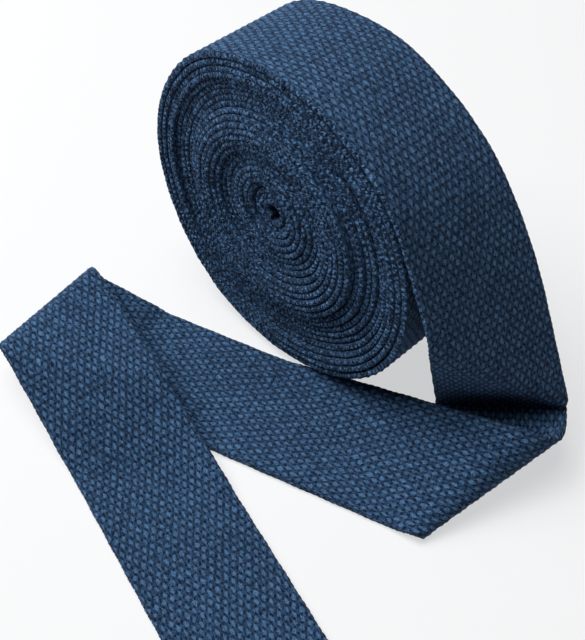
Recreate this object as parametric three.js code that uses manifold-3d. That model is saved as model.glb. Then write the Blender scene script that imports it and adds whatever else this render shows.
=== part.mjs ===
// Roll of cotton webbing. It stands on its rim, leaning a little, and its outer
// end is let down beside it, folded over twice and laid along the surface.
// Millimetres, +Z up, the surface at z = 0. +Y runs along the roll's axis from
// its near face to its far face. The origin is the middle of the bounding box.

import * as THREE from 'three';
import { mergeVertices } from 'three/addons/utils/BufferGeometryUtils.js';
import Module from 'manifold-3d';

// Driving sizes

const webbing = { width: 38, thick: 2, length: 460 };
const roll = {
  place: [-17.43, 47.34],
  height: 53.1,
  lean: 5,
  outerRadius: 52.5,
  steadyRadius: 24,
  eyeOffset: [-3, 2.5],
  startAngle: 92,
  columns: 120,
};
// The roll's top is pressed down, more at the far rim: fully between two angles
const crown = { near: 1.0, far: 3.1, from: 36, full: 70, back: 100, to: 140 };
const clearance = 0.6;
const halfWidth = webbing.width / 2;
const halfThick = webbing.thick / 2;
const { degToRad, radToDeg, lerp, smoothstep } = THREE.MathUtils;

// The roll's outline, anticlockwise from the place where the loose end starts.
// The last turn lies one thickness lower there, under the loose end.
const outlineRows = [
  { angle: 92, radius: 52.5 },
  { angle: 125, radius: 53.0 },
  { angle: 150, radius: 52.0 },
  { angle: 180, radius: 51.3 },
  { angle: 205, radius: 51.0 },
  { angle: 230, radius: 51.8 },
  { angle: 246, radius: 52.5 },
  { angle: 262, radius: 52.1 },
  { angle: 270, radius: 52.0 },
  { angle: 285, radius: 51.6 },
  { angle: 320, radius: 51.3 },
  { angle: 345, radius: 50.4 },
  { angle: 365, radius: 49.6 },
  { angle: 385, radius: 49.2 },
  { angle: 405, radius: 49.2 },
  { angle: 420, radius: 49.5 },
  { angle: 436, radius: 49.9 },
  { angle: 452, radius: 50.1 },
];

// The two faces from the eye to the rim: how far each ring of turns lies sunk
const faceRows = [
  { radius: 2.6, near: 3.4, far: 2.6 },
  { radius: 7.6, near: 2.4, far: 1.8 },
  { radius: 8.6, near: 1.3, far: 1.2 },
  { radius: 19.6, near: 1.0, far: 0.7 },
  { radius: 20.6, near: 0.5, far: 0.9 },
  { radius: 33.2, near: 0.2, far: 0.5 },
  { radius: 34.2, near: 0.8, far: 0.1 },
  { radius: 43.8, near: 0.6, far: 0.0 },
  { radius: 44.8, near: 0.1, far: 0.4 },
  { radius: 51.6, near: 0.0, far: 0.0 },
  { radius: 52.5, near: 0.7, far: 0.7 },
];

// Each bend of the loose end: where it starts and stops along the near and the
// far edge, and how far it turns. A positive turn goes the way the roll is wound.
const bendRows = [
  { name: 'over the roll', near: [0, 37.5], far: [0, 36.5], turn: 42, steps: 12 },
  { name: 'lifting off', near: [37.5, 56], far: [44, 95], turn: 26, steps: 8 },
  { name: 'hanging', near: [76, 96], far: [127, 129], turn: 59.5, steps: 10 },
  { name: 'meeting the surface', near: [129.5, 135.5], far: [129.5, 133], turn: -98.5, steps: 12 },
  { name: 'right fold', near: [172, 178.5], far: [133, 160], turn: -182.5, steps: 14 },
  { name: 'settling', near: [179, 193], far: [227.5, 244.5], turn: 24.5, steps: 6 },
  { name: 'rising', near: [279, 309.5], far: [276, 278.5], turn: 14.5, steps: 4 },
  { name: 'left fold', near: [309.5, 331], far: [302, 317], turn: 172.5, steps: 14 },
  { name: 'closing over', near: [331, 332], far: [360, 361.5], turn: 20.5, steps: 5 },
  { name: 'lying down', near: [371.5, 377], far: [362, 418.5], turn: -25, steps: 8 },
];
const flatStep = 8;
const acrossSteps = 5;
const flatRow = { near: [352, 378], far: [398, 420] };
const softHeight = 1.6;

// The roll's own directions

const lean = degToRad(roll.lean);
const right = new THREE.Vector3(1, 0, 0);
const axis = new THREE.Vector3(0, Math.cos(lean), -Math.sin(lean));
const upward = new THREE.Vector3(0, Math.sin(lean), Math.cos(lean));
const rollCentre = new THREE.Vector3(0, 0, roll.height);

// How far the roll's top is pressed down at an angle, across the webbing's width
function crownDrop(angle, across) {
  const amount = lerp(crown.near, crown.far, (across + halfWidth) / webbing.width);
  const rise = smoothstep(angle, crown.from, crown.full);
  return amount * rise * (1 - smoothstep(angle, crown.back, crown.to));
}

// A smooth curve through one column of a table
function smoothColumn(rows, at, value) {
  const places = rows.map((row) => row[at]);
  const values = rows.map((row) => row[value]);
  const curve = new THREE.CubicInterpolant(places, values, 1);
  return (x) => curve.evaluate(x)[0];
}

// Joins rings of points into one closed body. A loop joins its last ring to its
// first, and anything else is closed with a flat face at each end.
function loft(rings, isLoop) {
  const count = rings[0].length;
  const positions = rings.flat().flatMap((point) => point.toArray());
  const faces = [];
  const quad = (a, b, c, d) => faces.push(a, b, c, a, c, d);
  const spans = isLoop ? rings.length : rings.length - 1;
  for (let i = 0; i < spans; i += 1) {
    const here = i * count;
    const next = ((i + 1) % rings.length) * count;
    for (let j = 0; j < count; j += 1) {
      const k = (j + 1) % count;
      quad(here + j, next + j, next + k, here + k);
    }
  }
  if (!isLoop) {
    const last = (rings.length - 1) * count;
    for (let j = 0; j < count / 2 - 1; j += 1) {
      const across = count - 1 - j;
      quad(j, j + 1, across - 1, across);
      quad(last + j, last + across, last + across - 1, last + j + 1);
    }
  }
  const geometry = new THREE.BufferGeometry();
  geometry.setAttribute('position', new THREE.Float32BufferAttribute(positions, 3));
  geometry.setIndex(faces);
  return geometry;
}

// The wound turns

function woundRoll() {
  const outline = smoothColumn(outlineRows, 'angle', 'radius');
  const eye = new THREE.Vector2(...roll.eyeOffset);
  const nearSide = faceRows.map((row) => ({ radius: row.radius, along: row.near - halfWidth }));
  const farSide = faceRows.map((row) => ({ radius: row.radius, along: halfWidth - row.far }));
  const section = [...farSide, ...nearSide.reverse()];
  const turnEnd = 0.3;
  const rings = [];
  for (let i = 0; i <= roll.columns; i += 1) {
    const sweep = (i / roll.columns) * (360 - turnEnd);
    const angle = roll.startAngle + sweep;
    const outward = new THREE.Vector2(1, 0).rotateAround(
      new THREE.Vector2(),
      degToRad(angle),
    );
    rings.push(section.map(({ radius, along }) => {
      const share = smoothstep(radius, roll.steadyRadius, roll.outerRadius);
      const shift = outline(angle) - roll.outerRadius - crownDrop(angle % 360, along);
      const reach = radius + shift * share;
      const flat = outward.clone().multiplyScalar(reach);
      flat.addScaledVector(eye, 1 - radius / roll.outerRadius);
      return rollCentre.clone()
        .addScaledVector(right, flat.x)
        .addScaledVector(upward, flat.y)
        .addScaledVector(axis, along);
    }));
  }
  return loft(rings, true);
}

// The loose end, a flat strip bent along straight lines

function bendLines() {
  return bendRows.flatMap(({ near, far, turn, steps }) => (
    Array.from({ length: steps }, (_, i) => {
      const share = (i + 0.5) / steps;
      return {
        near: lerp(near[0], near[1], share),
        far: lerp(far[0], far[1], share),
        turn: degToRad(turn / steps),
      };
    })
  ));
}

const lines = bendLines();

// Where a point of the flat strip lies once every bend before it is made
function bentPoint(along, across) {
  const point = new THREE.Vector3(along, across, 0);
  for (const line of lines.toReversed()) {
    const middle = new THREE.Vector3((line.near + line.far) / 2, 0, 0);
    const crease = new THREE.Vector3(line.far - line.near, webbing.width, 0).normalize();
    const past = (along - middle.x) * crease.y - across * crease.x;
    if (past > 0) {
      point.sub(middle).applyAxisAngle(crease, line.turn).add(middle);
    }
  }
  return point;
}

// The strip's flat frame turned on to the roll, where the loose end starts
const startAngle = degToRad(roll.startAngle);
const outwardAtStart = right.clone().multiplyScalar(Math.cos(startAngle))
  .addScaledVector(upward, Math.sin(startAngle));
const alongAtStart = right.clone().multiplyScalar(Math.sin(startAngle))
  .addScaledVector(upward, -Math.cos(startAngle));
const stripFrame = new THREE.Matrix4()
  .makeBasis(alongAtStart, axis, outwardAtStart)
  .setPosition(rollCentre.clone()
    .addScaledVector(outwardAtStart, roll.outerRadius - halfThick));

// Low stretches are let down softly on to the surface, and the end lies flat
function middlePoint(along, across) {
  const point = bentPoint(along, across).applyMatrix4(stripFrame);
  const fromCentre = point.clone().sub(rollCentre);
  const angle = radToDeg(Math.atan2(fromCentre.dot(upward), fromCentre.dot(right)));
  const outward = right.clone().multiplyScalar(Math.cos(degToRad(angle)))
    .addScaledVector(upward, Math.sin(degToRad(angle)));
  point.addScaledVector(outward, -crownDrop(angle, across));
  const side = (across + halfWidth) / webbing.width;
  const [from, to] = [0, 1].map((i) => (
    lerp(flatRow.near[i], flatRow.far[i], side)
  ));
  const flatShare = smoothstep(along, from, to);
  const height = Math.max(point.z - halfThick, 0);
  const settled = height * smoothstep(height, 0, softHeight);
  point.z = halfThick + settled * (1 - flatShare);
  return point;
}

function rulings() {
  const start = { near: clearance, far: clearance };
  const end = { near: webbing.length, far: webbing.length };
  const stops = [start, ...lines.filter((line) => line.near > clearance), end];
  const all = [start];
  for (let i = 1; i < stops.length; i += 1) {
    const a = stops[i - 1];
    const b = stops[i];
    const gap = Math.max(b.near - a.near, b.far - a.far);
    const parts = Math.max(Math.ceil(gap / flatStep), 1);
    for (let part = 1; part <= parts; part += 1) {
      all.push({
        near: lerp(a.near, b.near, part / parts),
        far: lerp(a.far, b.far, part / parts),
      });
    }
  }
  return all;
}

function looseEnd() {
  const nudge = 0.05;
  const rings = rulings().map(({ near, far }) => {
    const upper = [];
    const lower = [];
    for (let j = 0; j <= acrossSteps; j += 1) {
      const share = j / acrossSteps;
      const along = lerp(near, far, share);
      const across = lerp(-halfWidth, halfWidth, share);
      const middle = middlePoint(along, across);
      const forward = middlePoint(along + nudge, across).sub(middlePoint(along - nudge, across));
      const slant = (far - near) / webbing.width;
      const sideways = middlePoint(along + slant * nudge, across + nudge)
        .sub(middlePoint(along - slant * nudge, across - nudge));
      const normal = forward.cross(sideways).normalize();
      upper.push(middle.clone().addScaledVector(normal, halfThick));
      lower.push(middle.clone().addScaledVector(normal, -halfThick));
    }
    return [...upper, ...lower.reverse()];
  });
  return loft(rings, false);
}

// Boolean cuts

const wasm = await Module();
wasm.setup();

function toSolid(geometry) {
  const bare = mergeVertices(geometry.clone(), 1e-5);
  return new wasm.Manifold(new wasm.Mesh({
    numProp: 3,
    vertProperties: new Float32Array(bare.attributes.position.array),
    triVerts: new Uint32Array(bare.index.array),
  }));
}

function toGeometry(solid) {
  const mesh = solid.getMesh();
  const geometry = new THREE.BufferGeometry();
  geometry.setAttribute('position', new THREE.BufferAttribute(mesh.vertProperties, 3));
  geometry.setIndex(new THREE.BufferAttribute(mesh.triVerts, 1));
  return geometry;
}

// The roll sinks a little into the surface at its far rim: that becomes its flat spot
function standOnSurface(geometry) {
  const size = 300;
  const block = new THREE.BoxGeometry(size, size, size);
  block.deleteAttribute('normal');
  block.deleteAttribute('uv');
  block.translate(0, 0, size / 2);
  return toGeometry(toSolid(geometry).intersect(toSolid(block)));
}

// The part

const cotton = new THREE.MeshStandardMaterial({
  color: new THREE.Color(0.045, 0.105, 0.2),
  roughness: 0.92,
  metalness: 0,
  side: THREE.DoubleSide,
});

const group = new THREE.Group();
const pieces = { wound_roll: standOnSurface(woundRoll()), loose_end: looseEnd() };
for (const [name, geometry] of Object.entries(pieces)) {
  geometry.computeVertexNormals();
  const mesh = new THREE.Mesh(geometry, cotton.clone());
  mesh.name = name;
  mesh.position.set(roll.place[0], roll.place[1], 0);
  group.add(mesh);
}

export default group;
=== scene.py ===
"""Roll of navy cotton webbing that stands on its rim, its loose end let down and folded twice."""

import math

import bpy
import numpy as np
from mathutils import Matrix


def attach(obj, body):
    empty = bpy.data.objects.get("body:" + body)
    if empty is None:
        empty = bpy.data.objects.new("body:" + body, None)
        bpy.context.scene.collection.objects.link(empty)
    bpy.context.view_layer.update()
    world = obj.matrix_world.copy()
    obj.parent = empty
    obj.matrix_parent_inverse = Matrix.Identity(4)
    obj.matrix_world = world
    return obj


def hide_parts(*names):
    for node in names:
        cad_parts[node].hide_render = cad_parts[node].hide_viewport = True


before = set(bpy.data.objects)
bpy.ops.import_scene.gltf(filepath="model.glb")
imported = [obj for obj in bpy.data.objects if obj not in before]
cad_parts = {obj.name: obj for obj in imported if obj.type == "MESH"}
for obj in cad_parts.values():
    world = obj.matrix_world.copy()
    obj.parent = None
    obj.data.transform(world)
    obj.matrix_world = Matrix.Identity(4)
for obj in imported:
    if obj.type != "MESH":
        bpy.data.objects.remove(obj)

bl_info = {
    "name": "Roll of cotton webbing",
    "version": (1, 0, 0),
    "blender": (4, 5, 0),
    "location": "View3D > Sidebar > Webbing",
    "description": "Winds cotton webbing into a roll and folds its loose end beside it",
    "category": "Object",
}

# Sizes in millimetres. The outline, the crown and the bends are those of the solids
MM = 0.001
WIDTH = 38.0
THICK = 2.0
WOUND_THICK = 1.82
LOOSE_LENGTH = 460.0
COLUMN = 1.1875
PICK = 2.1
PLACE = np.array([-17.43, 47.34, 53.1])
LEAN = math.radians(5.0)
START = math.radians(92.0)
OUTER = 52.5
STEADY = 24.0
EYE_SHIFT = (-4.5, 2.5)
FIRST_DROP = 2.4
TURN_PITCH = 1.9
EYE_RADIUS = 3.3
TURN_STEP = 0.64
LAST_TURN = 358
LOOP_SLANT = 0.45
EDGE_RAGGED = 0.13

# Where the UV map puts the woven edge and the underside, in columns
EDGE_MAP_START = 0.7
EDGE_MAP_SPAN = 1.2
UNDERSIDE_MAP = 101
EDGE_BLEND = (15.6, 16.3)
EDGE_MIDDLE = 16.8
EDGE_HALF = 0.6
UPPER_LIMIT = 20.0
CROWN = {"near": 1.0, "far": 3.1, "from": 36, "full": 70, "back": 100, "to": 140}

# The roll's directions: to the right, along its axis and upwards
RIGHT = np.array([1.0, 0.0, 0.0])
AXIS = np.array([0.0, math.cos(LEAN), -math.sin(LEAN)])
UPWARD = np.array([0.0, math.sin(LEAN), math.cos(LEAN)])

# Angle round the roll, from where the loose end starts, and radius of the last turn
OUTLINE = [
    (92, 52.5), (125, 53.0), (150, 52.0), (180, 51.3), (205, 51.0), (230, 51.8),
    (246, 52.5), (262, 52.1), (270, 52.0), (285, 51.6), (320, 51.3), (345, 50.4),
    (365, 49.6), (385, 49.2), (405, 49.2), (420, 49.5), (436, 49.9), (452, 50.1),
]

# Radius, and how far the turns lie sunk there in the near and the far face
LEDGES = [
    (2.6, 1.9, 2.6), (7.6, 1.9, 1.8), (8.6, 1.3, 1.2), (19.6, 1.0, 0.7),
    (20.6, 0.5, 0.9), (33.2, 0.2, 0.5), (34.2, 0.8, 0.1), (43.8, 0.6, 0.0),
    (44.8, 0.1, 0.4), (49.5, 0.0, 0.1), (52.5, 0.0, 0.0),
]

# Looser places in the near face: angle from and to, radius, and how far they are sunk
LOOSE_PLACES = [
    (110, 235, 47.4, 0.9), (165, 235, 43.9, 0.8), (120, 255, 37.0, 0.9),
    (175, 240, 31.8, 0.5), (95, 255, 10.6, 2.3), (285, 410, 45.2, 0.8),
    (285, 440, 40.6, 0.9), (300, 440, 33.2, 1.0), (355, 440, 23.0, 0.9),
    (365, 435, 14.2, 0.8),
]

# Each bend of the loose end: its start and stop along the near edge, then along
# the far edge, the turn in degrees and the number of steps it is made in
BENDS = [
    (0, 37.5, 0, 36.5, 42, 12),
    (37.5, 56, 44, 95, 26, 8),
    (76, 96, 127, 129, 59.5, 10),
    (129.5, 135.5, 129.5, 133, -98.5, 12),
    (172, 178.5, 133, 160, -182.5, 14),
    (179, 193, 227.5, 244.5, 24.5, 6),
    (279, 309.5, 276, 278.5, 14.5, 4),
    (309.5, 331, 302, 317, 172.5, 14),
    (331, 332, 360, 361.5, 20.5, 5),
    (371.5, 377, 362, 418.5, -25, 8),
]
FLAT_NEAR = (352, 378)
FLAT_FAR = (398, 420)
SOFT_HEIGHT = 1.6


# The camera in metres and degrees, and each light's name, place, size and power
LENS = 62.64
CAMERA_PLACE = (0.133129, -0.113147, 0.29464)
CAMERA_DOWN = 54.049
CAMERA_ROUND = 45.42
LIGHTS = [
    ("key light", (-0.614, -0.286, 0.867), 0.7, 11.0),
    ("top light", (-0.284, -0.025, 1.063), 0.7, 9.5),
]


class WebbingSizes(bpy.types.PropertyGroup):
    """Sizes of the webbing that can be changed by hand."""

    relief: bpy.props.FloatProperty(
        name="Weave relief",
        description="How far each crossing stands above the middle of the webbing",
        default=0.00024,
        unit="LENGTH",
    )
    loop_reach: bpy.props.FloatProperty(
        name="Edge loops",
        description="How far the weft loops stand out of the webbing's edges",
        default=0.0005,
        unit="LENGTH",
    )
    edge_round: bpy.props.FloatProperty(
        name="Edge rounding",
        description="How far the woven edge rounds off",
        default=0.00026,
        unit="LENGTH",
    )


class WebbingColours(bpy.types.PropertyGroup):
    """Colours of the cotton, with its painted highlight and painted shade, and of the floor."""

    # Pale colour: painted highlight on the yarn crowns and edge loops, and the cotton's own pale
    # fibres
    pale_fibre_and_highlight: bpy.props.FloatVectorProperty(
        name="Light yarn",
        description="Colour of the fibres that catch the light",
        default=(0.09, 0.2, 0.38),
        subtype="COLOR",
        size=3,
    )
    mid_yarn: bpy.props.FloatVectorProperty(
        name="Yarn",
        description="Colour of the dyed cotton",
        default=(0.026, 0.068, 0.145),
        subtype="COLOR",
        size=3,
    )
    # Dark colour: painted shade in the gaps between the yarns, and the cotton's darkest fibres
    gap_shade_and_dark_fibre: bpy.props.FloatVectorProperty(
        name="Dark yarn",
        description="Colour between the yarns",
        default=(0.003, 0.01, 0.03),
        subtype="COLOR",
        size=3,
    )
    floor: bpy.props.FloatVectorProperty(
        name="Floor",
        description="Colour of the surface below",
        default=(0.25, 0.25, 0.252),
        subtype="COLOR",
        size=3,
    )


def smoothstep(x, low, high):
    """Goes smoothly from 0 at low to 1 at high."""
    share = np.clip((x - low) / (high - low), 0, 1)
    return share * share * (3 - 2 * share)


def smooth_table(rows, x, column):
    """Follows one column of a table with a smooth curve."""
    at = np.array([row[0] for row in rows], float)
    value = np.array([row[column] for row in rows], float)
    slope = np.gradient(value, at)
    i = np.clip(np.searchsorted(at, x) - 1, 0, len(at) - 2)
    gap = at[i + 1] - at[i]
    t = np.clip((x - at[i]) / gap, 0, 1)
    return (
        value[i] * (1 + 2 * t) * (1 - t) ** 2
        + slope[i] * gap * t * (1 - t) ** 2
        + value[i + 1] * t * t * (3 - 2 * t)
        + slope[i + 1] * gap * t * t * (t - 1)
    )


def crown_drop(angle, across):
    """How far the roll's top is pressed down at an angle in degrees."""
    share = np.clip((across + WIDTH / 2) / WIDTH, 0, 1)
    amount = CROWN["near"] + (CROWN["far"] - CROWN["near"]) * share
    rise = smoothstep(angle, CROWN["from"], CROWN["full"])
    return amount * rise * (1 - smoothstep(angle, CROWN["back"], CROWN["to"]))


def weave_height(picks, columns):
    """Plain weave: each crossing is a crown on one side and a dip on the other."""
    wave = np.sin(np.pi * picks) * np.sin(np.pi * columns)
    return np.sign(wave) * np.abs(wave) ** 0.6


def edge_loops(picks, side):
    """Slanted loops of weft round the woven edge, side being -1 to 1 through the thickness."""
    wave = 0.5 + 0.5 * np.cos(2 * np.pi * (picks + LOOP_SLANT * side))
    slow = 0.5 + 0.5 * np.cos(np.pi * 0.37 * picks + 1.3 * side)
    return 0.65 * wave + 0.35 * slow


class Ring:
    """Places round the webbing's section: across it, out of its edges and through it."""

    def __init__(self, top, bottom, edge_steps):
        limit = WIDTH / 2 / COLUMN - 0.5
        turn = np.linspace(np.pi / 2, -np.pi / 2, edge_steps + 2)[1:-1]
        upper = np.linspace(-limit, limit, top)
        lower = np.linspace(limit, -limit, bottom)
        self.columns = np.concatenate(
            [upper, np.full(edge_steps, limit), lower, np.full(edge_steps, -limit)]
        )
        self.out = np.concatenate(
            [0 * upper, np.cos(turn), 0 * lower, -np.cos(turn[::-1])]
        )
        self.side = np.concatenate(
            [0 * upper + 1, np.sin(turn), 0 * lower - 1, np.sin(turn[::-1])]
        )
        round_share = np.linspace(0, 1, edge_steps + 2)[1:-1]
        outward = limit + EDGE_MAP_START + EDGE_MAP_SPAN * round_share
        self.map_column = np.concatenate(
            [upper, outward, lower + UNDERSIDE_MAP, -outward[::-1]]
        )
        self.face = (self.out == 0).astype(float)
        self.top = top


def webbing_mesh(name, points, ring, picks):
    """Makes a closed mesh from rings of points, with the weave's count as its UV map."""
    rows, count = points.shape[:2]
    vertices = (points.reshape(-1, 3) * MM).tolist()
    here = np.arange(rows - 1)[:, None] * count
    j = np.arange(count)[None, :]
    k = (j + 1) % count
    quads = np.stack([here + j, here + k, here + count + k, here + count + j], axis=-1)
    faces = quads.reshape(-1, 4).tolist()
    last = (rows - 1) * count
    half = ring.top
    edge = (count - 2 * half) // 2
    for i in range(half - 1):
        low = 2 * half + edge - 1 - i
        faces.append([i, low, low - 1, i + 1])
        faces.append([last + i, last + i + 1, last + low - 1, last + low])
    far = [half - 1] + [half + i for i in range(edge)] + [half + edge]
    near = [2 * half + edge - 1] + [2 * half + edge + i for i in range(edge)] + [0]
    faces += [far[::-1], [last + i for i in far], near[::-1], [last + i for i in near]]
    mesh = bpy.data.meshes.new(name)
    mesh.from_pydata(vertices, [], faces)
    corner = np.zeros(len(mesh.loops), dtype=np.int32)
    mesh.loops.foreach_get("vertex_index", corner)
    places = np.stack(
        [np.repeat(picks, count), np.tile(ring.map_column, rows)], axis=-1
    )[corner]
    layer = mesh.uv_layers.new(name="weave")
    layer.data.foreach_set("uv", places.astype(np.float32).ravel())
    mesh.polygons.foreach_set("use_smooth", np.ones(len(mesh.polygons), dtype=bool))
    mesh.update()
    piece = bpy.data.objects.new(name, mesh)
    bpy.context.scene.collection.objects.link(piece)
    return piece


def nominal_radius(sweep):
    """Radius of the outer side after so many degrees of winding inwards."""
    turn = sweep / 360
    first = np.minimum(turn, 1)
    second = np.clip(turn - 1, 0, 1)
    rest = np.maximum(turn - 2, 0)
    easing = (FIRST_DROP - TURN_PITCH) * (second - second**2 / 2)
    return OUTER - FIRST_DROP * first - TURN_PITCH * (second + rest) - easing


def coil_points(sweep, ring, picks, sizes, relief):
    """Rings of points along the wound webbing, from the loose end's start inwards."""
    start = math.degrees(START)
    around = sweep % 360
    nominal = nominal_radius(sweep)
    angle = np.radians(start + around)
    outline = smooth_table(OUTLINE, start + around, 1)
    shape = outline - (OUTER - FIRST_DROP * around / 360)
    share = smoothstep(nominal, STEADY, OUTER)
    half = np.where(sweep <= 360, THICK / 2, WOUND_THICK / 2)
    near = smooth_table(LEDGES, nominal - 1, 1)
    for low_angle, high_angle, place, depth in LOOSE_PLACES:
        here = smoothstep(start + around, low_angle, low_angle + 25)
        here = here * (1 - smoothstep(start + around, high_angle - 25, high_angle))
        near = near + depth * here * np.exp(-(((nominal - place) / 0.8) ** 2))
    far = smooth_table(LEDGES, nominal - 1, 2)
    random = np.random.default_rng(7)
    wander = np.zeros_like(sweep)
    for count in range(1, 7):
        size, phase = random.uniform(0.03, 0.12), random.uniform(0, 2 * np.pi)
        rate = count * 0.37 + random.uniform(0, 0.2)
        wander += size * np.sin(np.radians(sweep) * rate + phase)
    turn_number = np.floor(sweep / 360).astype(int)
    steps = random.uniform(-0.16, 0.16, 40)
    blend = smoothstep(around, 0, 60)
    steps = steps[turn_number] * blend + steps[np.maximum(turn_number - 1, 0)] * (1 - blend)
    wander = (wander + steps) * smoothstep(sweep, 0, 90)
    edge = sizes.edge_round / MM
    reach = sizes.loop_reach / MM
    limit = WIDTH / 2 - edge
    share_across = (ring.columns[None] * COLUMN / (WIDTH / 2 - COLUMN / 2) + 1) / 2
    low = (-limit + near + wander)[:, None]
    high = (limit - far + wander)[:, None]
    across = low + (high - low) * share_across
    loops = edge_loops(picks[:, None], ring.side[None]) * reach
    ragged = random.uniform(-EDGE_RAGGED, EDGE_RAGGED, loops.shape)
    across = across + ring.out[None] * (edge + loops + ragged)
    drop = crown_drop(start + around[:, None] - 360 * (around[:, None] > 268), across)
    radius = nominal[:, None] + (shape[:, None] - drop) * share[:, None] - half[:, None]
    height = weave_height(picks[:, None], ring.columns[None]) * relief * ring.face[None]
    radius = radius + half[:, None] * ring.side[None] + height
    loosen = 1 - nominal / OUTER
    inner = smoothstep(8.4 - nominal, 0, 0.9)
    shift = loosen[:, None] * np.array(EYE_SHIFT) + inner[:, None] * np.array([0.75, -0.2])
    flat_x = radius * np.cos(angle)[:, None] + shift[:, :1]
    flat_y = radius * np.sin(angle)[:, None] + shift[:, 1:]
    points = (
        PLACE
        + flat_x[..., None] * RIGHT
        + flat_y[..., None] * UPWARD
        + across[..., None] * AXIS
    )
    points[..., 2] = np.maximum(points[..., 2], 0.02)
    return points


def coil_picks(sweep):
    """The weave's count along the wound webbing, running negative inwards."""
    radius = nominal_radius(sweep) - THICK / 2
    steps = np.diff(np.radians(sweep)) * (radius[1:] + radius[:-1]) / 2
    count = np.concatenate([[0], np.cumsum(steps)]) / PICK
    random = np.random.default_rng(3)
    uneven = np.zeros_like(sweep)
    for rate in (0.61, 0.83, 1.27, 1.73):
        size, phase = random.uniform(0.6, 1.2), random.uniform(0, 2 * np.pi)
        uneven += size * np.sin(np.radians(sweep) * rate + phase)
    return uneven * radius / OUTER * smoothstep(sweep, 0, 120) - count


def sweep_steps(first, last, spacing):
    """Sweeps at even distances along the wound webbing."""
    fine = np.linspace(first, last, 20000)
    steps = np.diff(np.radians(fine)) * (nominal_radius(fine[1:]) - THICK / 2)
    run = np.concatenate([[0], np.cumsum(steps)])
    return np.interp(np.arange(0, run[-1], spacing), run, fine)


def bent_points(along, across):
    """Where points of the flat webbing lie once every bend before them is made."""
    points = np.stack([along, across, np.zeros_like(along)], axis=-1)
    creases = [
        (a + (b - a) * (i + 0.5) / n, c + (d - c) * (i + 0.5) / n, math.radians(turn) / n)
        for a, b, c, d, turn, n in BENDS
        for i in range(n)
    ]
    for near, far, turn in reversed(creases):
        middle = np.array([(near + far) / 2, 0, 0])
        crease = np.array([far - near, WIDTH, 0])
        crease = crease / np.linalg.norm(crease)
        past = (along - middle[0]) * crease[1] - across * crease[0] > 0
        arm = points[past] - middle
        points[past] = (
            middle
            + arm * math.cos(turn)
            + np.cross(crease, arm) * math.sin(turn)
            + (arm @ crease)[:, None] * crease * (1 - math.cos(turn))
        )
    return points


def loose_middle(along, across):
    """The middle surface of the loose end, laid on the roll and on the floor."""
    out = math.cos(START) * RIGHT + math.sin(START) * UPWARD
    run = math.sin(START) * RIGHT - math.cos(START) * UPWARD
    bent = bent_points(along, across)
    from_centre = (
        (OUTER - THICK / 2) * out
        + bent[..., :1] * run
        + bent[..., 1:2] * AXIS
        + bent[..., 2:] * out
    )
    angle = np.arctan2(from_centre @ UPWARD, from_centre @ RIGHT)
    drop = crown_drop(np.degrees(angle), across)
    outward = np.cos(angle)[..., None] * RIGHT + np.sin(angle)[..., None] * UPWARD
    points = PLACE + from_centre - drop[..., None] * outward
    side = (across + WIDTH / 2) / WIDTH
    low = FLAT_NEAR[0] + (FLAT_FAR[0] - FLAT_NEAR[0]) * side
    high = FLAT_NEAR[1] + (FLAT_FAR[1] - FLAT_NEAR[1]) * side
    flat = smoothstep(along, low, high)
    height = np.maximum(points[..., 2] - THICK / 2, 0)
    settled = height * smoothstep(height, 0, SOFT_HEIGHT)
    points[..., 2] = THICK / 2 + settled * (1 - flat)
    return points


def loose_points(along, ring, sizes, relief):
    """Rings of points along the loose end, with its weave and its edge loops."""
    edge = sizes.edge_round / MM
    reach = sizes.loop_reach / MM
    across = ring.columns * COLUMN * (WIDTH / 2 - edge) / (WIDTH / 2 - COLUMN / 2)
    run, wide = np.meshgrid(along, across, indexing="ij")
    flat_run, flat_wide = run.ravel(), wide.ravel()
    nudge = 0.05
    middle = loose_middle(flat_run, flat_wide)
    ahead = loose_middle(flat_run + nudge, flat_wide) - loose_middle(flat_run - nudge, flat_wide)
    beside = loose_middle(flat_run, flat_wide + nudge) - loose_middle(flat_run, flat_wide - nudge)
    normal = np.cross(ahead, beside)
    normal /= np.linalg.norm(normal, axis=1)[:, None]
    beside /= np.linalg.norm(beside, axis=1)[:, None]
    picks = run / PICK
    height = weave_height(picks, ring.columns[None]) * relief * ring.face[None]
    lift = THICK / 2 * ring.side[None] + height
    out = ring.out[None] * (edge + edge_loops(picks, ring.side[None]) * reach)
    points = middle + normal * lift.ravel()[:, None] + beside * out.ravel()[:, None]
    points[:, 2] = np.maximum(points[:, 2], 0.02)
    return points.reshape(*run.shape, 3)


class Value:
    """A number in a material. Sums on it add Math nodes."""

    def __init__(self, maker, socket):
        self.maker = maker
        self.socket = socket

    def sum(self, operation, *others):
        values = {i: other for i, other in enumerate((self, *others))}
        return self.maker.node("ShaderNodeMath", {"operation": operation}, values)

    def __add__(self, other):
        return self.sum("ADD", other)

    def __mul__(self, other):
        return self.sum("MULTIPLY", other)

    def __sub__(self, other):
        return self.sum("SUBTRACT", other)

    def __rsub__(self, other):
        return (self * -1) + other

    def __pow__(self, other):
        return self.sum("POWER", other)

    def sine(self):
        return self.sum("SINE")

    def size(self):
        return self.sum("ABSOLUTE")

    def over(self, other):
        return self.sum("GREATER_THAN", other)

    def smooth(self, low, high):
        settings = {"interpolation_type": "SMOOTHSTEP"}
        values = {"Value": self, "From Min": low, "From Max": high}
        return self.maker.node("ShaderNodeMapRange", settings, values)


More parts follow.
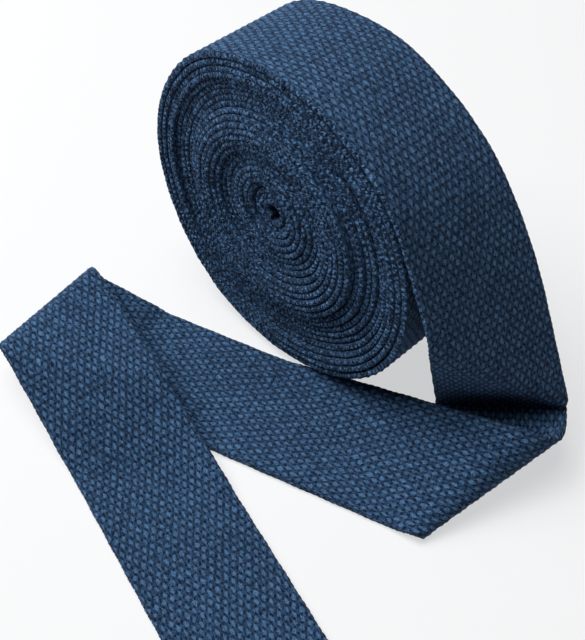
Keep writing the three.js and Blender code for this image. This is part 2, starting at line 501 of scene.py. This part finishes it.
class Maker:
    """Adds nodes to one material."""

    def __init__(self, material):
        self.tree = material.node_tree

    def node(self, kind, settings=None, values=None, output=0):
        node = self.tree.nodes.new(kind)
        for name, setting in (settings or {}).items():
            setattr(node, name, setting)
        for name, value in (values or {}).items():
            socket = node.inputs[name]
            if isinstance(value, Value):
                self.tree.links.new(value.socket, socket)
            else:
                socket.default_value = value
        return Value(self, node.outputs[output]) if len(node.outputs) else None

    def noise(self, x, y, scale, detail=2.0, z=0.0):
        place = self.node("ShaderNodeCombineXYZ", values={"X": x, "Y": y, "Z": z})
        values = {"Vector": place, "Scale": scale, "Detail": detail, "Roughness": 0.6}
        return self.node("ShaderNodeTexNoise", {"noise_dimensions": "3D"}, values)

    def mix(self, share, first, second, blend="MIX"):
        settings = {"data_type": "RGBA", "blend_type": blend}
        values = {0: share, 6: first, 7: second}
        return self.node("ShaderNodeMix", settings, values, 2)


def cotton_material(colours):
    """Dyed cotton yarn in a plain weave, read from the weave's count in the UV map, with painted
    highlight on the yarn crowns and edge loops and painted shade in the gaps between the yarns.
    """
    material = bpy.data.materials.new("cotton webbing")
    material.use_nodes = True
    material.node_tree.nodes.clear()
    make = Maker(material)
    place = make.node("ShaderNodeUVMap", {"uv_map": "weave"})
    picks = make.node("ShaderNodeSeparateXYZ", values={0: place}, output=0)
    columns = make.node("ShaderNodeSeparateXYZ", values={0: place}, output=1)
    drift = make.noise(picks, columns, 0.9, 2.0)
    crooked = make.noise(picks, columns, 1.1, 2.0, 7.0)
    at_picks = picks + (drift - 0.5) * 1.1
    at_columns = columns + (crooked - 0.5) * 1.0
    down_pick = (at_picks * math.pi).sine()
    down_column = (at_columns * math.pi).sine()
    wave = down_pick * down_column
    crown = wave.smooth(-0.3, 0.3)
    # Where the yarns part: painted shade in the gaps between the yarns, and the hollows of the
    # bump
    gap = (1 - down_pick.size()) * (1 - down_column.size())
    shaded_hollow = gap.smooth(0.08, 0.55)
    rounded = wave.size() ** 0.5
    slanted = at_columns * 1.6 + at_picks * 1.1
    warp_fibre = make.noise(at_picks * 1.4, slanted, 3.4, 3.0)
    weft_fibre = make.noise(at_picks * 3.2, at_columns * 1.2, 3.0, 3.0, 3.0)
    fibre = warp_fibre * crown + weft_fibre * (1 - crown) - 0.5
    speck = make.noise(picks * 2.0, columns * 1.4, 2.3, 1.0, 11.0).smooth(0.58, 0.74)
    tone = make.noise(picks * 0.06, columns * 0.05, 1.0, 2.0, 5.0) - 0.5
    patch = make.noise(picks, columns, 0.8, 1.0, 9.0) - 0.5
    # Painted highlight peaked on each crown and painted shade in the gaps between the yarns, with
    # the yarns' own fibres, tone and patches
    painted_light_and_grain = crown * rounded * 0.38 + crown * 0.06 + 0.31 - shaded_hollow * 0.6
    painted_light_and_grain = painted_light_and_grain + fibre * 2.7 + tone * 0.25 + patch * 0.6
    edge = columns.size().smooth(*EDGE_BLEND) * (1 - columns.size().over(UPPER_LIMIT))
    side = (EDGE_MIDDLE - columns.size()) * (1 / EDGE_HALF)
    jitter = make.noise(picks * 0.9, columns * 0.9, 1.0, 2.0, 6.0) - 0.5
    loop = ((picks * 1.1 + side * LOOP_SLANT + jitter * 1.3) * (2 * math.pi)).sine() * 0.5 + 0.5
    slant_long = picks * 0.95 + columns * 0.7
    slant_short = picks * 2.7 - columns * 1.9
    loop_fibre = make.noise(slant_long, slant_short, 1.15, 2.0, 4.0) - 0.5
    edge_speck = make.noise(slant_long, slant_short, 1.0, 1.0, 2.0).smooth(0.55, 0.66)
    # Woven edge: painted highlight on the crests of the weft loops, with the loops' own fibres
    # and patches; the edge is kept darker than the flat face, partly the turned edges' own look
    # and partly painted shade of the near face
    edge_painted_light_and_grain = loop * 0.45 + loop_fibre * 3.2 + patch * 0.7 - 0.02
    # Brightness for the colour ramp: painted highlight and painted shade together with the
    # cotton's own grain
    light = painted_light_and_grain * (1 - edge) + edge_painted_light_and_grain * edge
    # Dark gives the painted shade and the darkest fibres, pale the painted highlight and the pale
    # fibres and specks
    dark = (*colours.gap_shade_and_dark_fibre, 1.0)
    middle = (*colours.mid_yarn, 1.0)
    pale = (*colours.pale_fibre_and_highlight, 1.0)
    colour = make.mix(light.smooth(0.02, 0.5), dark, middle)
    colour = make.mix(light.smooth(0.42, 0.95), colour, pale)
    colour = make.mix(speck * (1 - edge) * 0.5 + edge_speck * edge * 0.75, colour, pale)
    height = rounded * (crown * 1.0 - 0.3) - shaded_hollow * 0.5 + fibre * 1.1
    edge_height = loop * 0.7 + loop_fibre * 1.2
    height = height * (1 - edge) + edge_height * edge
    bump = make.node(
        "ShaderNodeBump",
        values={"Strength": 1.0, "Distance": 0.0006, "Height": height},
    )
    cloth = make.node(
        "ShaderNodeBsdfPrincipled",
        values={
            "Base Color": colour,
            "Roughness": 0.9,
            "Normal": bump,
            "Sheen Weight": 0.06,
            "Sheen Roughness": 0.5,
            "Sheen Tint": (0.45, 0.65, 1.0, 1.0),
            "Specular IOR Level": 0.14,
        },
    )
    make.node("ShaderNodeOutputMaterial", values={"Surface": cloth})
    return material


def dress(piece, node):
    """Gives a piece its cotton and its body, and hides the part of the solids that it stands for.
    """
    material = bpy.data.materials.get("cotton webbing")
    if material is None:
        material = cotton_material(bpy.context.scene.webbing_colours)
    piece.data.materials.append(material)
    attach(piece, "root")
    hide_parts(node)


class WEBBING_OT_inner_turns(bpy.types.Operator):
    """Winds the turns from the eye out to the last but one"""

    bl_idname = "webbing.inner_turns"
    bl_label = "Wind the inner turns"

    def execute(self, context):
        sizes = context.scene.webbing_sizes
        turns = 2 + (nominal_radius(np.array([720.0]))[0] - EYE_RADIUS) / TURN_PITCH
        sweep = sweep_steps(0, turns * 360, TURN_STEP)
        picks = coil_picks(sweep)
        keep = sweep >= LAST_TURN
        ring = Ring(2, 2, 5)
        points = coil_points(sweep[keep], ring, picks[keep], sizes, 0.0)
        piece = webbing_mesh("inner_turns", points[::-1], ring, picks[keep][::-1])
        dress(piece, "wound_roll")
        return {"FINISHED"}


class WEBBING_OT_outer_turn(bpy.types.Operator):
    """Winds the last turn, whose outer side shows"""

    bl_idname = "webbing.outer_turn"
    bl_label = "Wind the outer turn"

    def execute(self, context):
        sizes = context.scene.webbing_sizes
        sweep = sweep_steps(0, LAST_TURN, PICK / 3)
        picks = coil_picks(sweep)
        ring = Ring(63, 63, 5)
        points = coil_points(sweep, ring, picks, sizes, sizes.relief / MM)
        piece = webbing_mesh("outer_turn", points[::-1], ring, picks[::-1])
        dress(piece, "wound_roll")
        return {"FINISHED"}


class WEBBING_OT_loose_end(bpy.types.Operator):
    """Lays the loose end: down from the roll, folded twice and along the floor"""

    bl_idname = "webbing.loose_end"
    bl_label = "Lay the loose end"

    def execute(self, context):
        sizes = context.scene.webbing_sizes
        steps = round(LOOSE_LENGTH / (PICK / 3))
        along = np.arange(steps + 1) * PICK / 3
        ring = Ring(63, 63, 5)
        points = loose_points(along, ring, sizes, sizes.relief / MM)
        piece = webbing_mesh("loose_webbing", points, ring, along / PICK)
        dress(piece, "loose_end")
        return {"FINISHED"}


class WEBBING_OT_stage(bpy.types.Operator):
    """Sets the pale floor, the soft lights and the camera"""

    bl_idname = "webbing.stage"
    bl_label = "Set the stage"

    def execute(self, context):
        scene = context.scene
        bpy.ops.object.select_all(action="DESELECT")
        bpy.ops.mesh.primitive_plane_add(size=6, location=(0, 0, -0.0002))
        floor = context.active_object
        floor.name = "floor"
        paper = bpy.data.materials.new("pale floor")
        paper.use_nodes = True
        shader = paper.node_tree.nodes["Principled BSDF"]
        shader.inputs["Base Color"].default_value = (*scene.webbing_colours.floor, 1)
        shader.inputs["Roughness"].default_value = 0.9
        shader.inputs["Emission Color"].default_value = (0.985, 0.99, 1.0, 1)
        shader.inputs["Emission Strength"].default_value = 0.6
        floor.data.materials.append(paper)
        world = bpy.data.worlds.new("soft studio")
        world.use_nodes = True
        sky = world.node_tree.nodes["Background"]
        sky.inputs["Color"].default_value = (0.95, 0.97, 1.0, 1)
        sky.inputs["Strength"].default_value = 0.03
        scene.world = world
        for name, place, size, power in LIGHTS:
            data = bpy.data.lights.new(name, "AREA")
            data.size, data.energy = size, power
            lamp = bpy.data.objects.new(name, data)
            lamp.location = place
            lamp.rotation_mode = "QUATERNION"
            aim = -lamp.location
            lamp.rotation_quaternion = aim.to_track_quat("-Z", "Y")
            scene.collection.objects.link(lamp)
        scene.view_settings.view_transform = "Standard"
        data = bpy.data.cameras.new("camera")
        data.sensor_width, data.lens = 36, LENS
        camera = bpy.data.objects.new("camera", data)
        camera.location = CAMERA_PLACE
        camera.rotation_euler = (math.radians(90 - CAMERA_DOWN), 0, math.radians(CAMERA_ROUND))
        scene.collection.objects.link(camera)
        scene.camera = camera
        return {"FINISHED"}


class WEBBING_PT_panel(bpy.types.Panel):
    """Steps and sizes of the roll of webbing"""

    bl_label = "Roll of webbing"
    bl_space_type = "VIEW_3D"
    bl_region_type = "UI"
    bl_category = "Webbing"

    def draw(self, context):
        for group in (context.scene.webbing_sizes, context.scene.webbing_colours):
            for name in group.bl_rna.properties.keys():
                if name not in ("rna_type", "name"):
                    self.layout.prop(group, name)
        for operator in OPERATORS:
            self.layout.operator(operator.bl_idname)


OPERATORS = (
    WEBBING_OT_stage,
    WEBBING_OT_inner_turns,
    WEBBING_OT_outer_turn,
    WEBBING_OT_loose_end,
)
CLASSES = (WebbingSizes, WebbingColours, *OPERATORS, WEBBING_PT_panel)


def register():
    for item in CLASSES:
        bpy.utils.register_class(item)
    bpy.types.Scene.webbing_sizes = bpy.props.PointerProperty(type=WebbingSizes)
    bpy.types.Scene.webbing_colours = bpy.props.PointerProperty(type=WebbingColours)


def unregister():
    del bpy.types.Scene.webbing_colours
    del bpy.types.Scene.webbing_sizes
    for item in reversed(CLASSES):
        bpy.utils.unregister_class(item)


def main():
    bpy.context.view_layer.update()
    register()
    bpy.ops.webbing.stage()
    bpy.ops.webbing.inner_turns()
    bpy.ops.webbing.outer_turn()
    bpy.ops.webbing.loose_end()


if __name__ == "__main__":
    main()
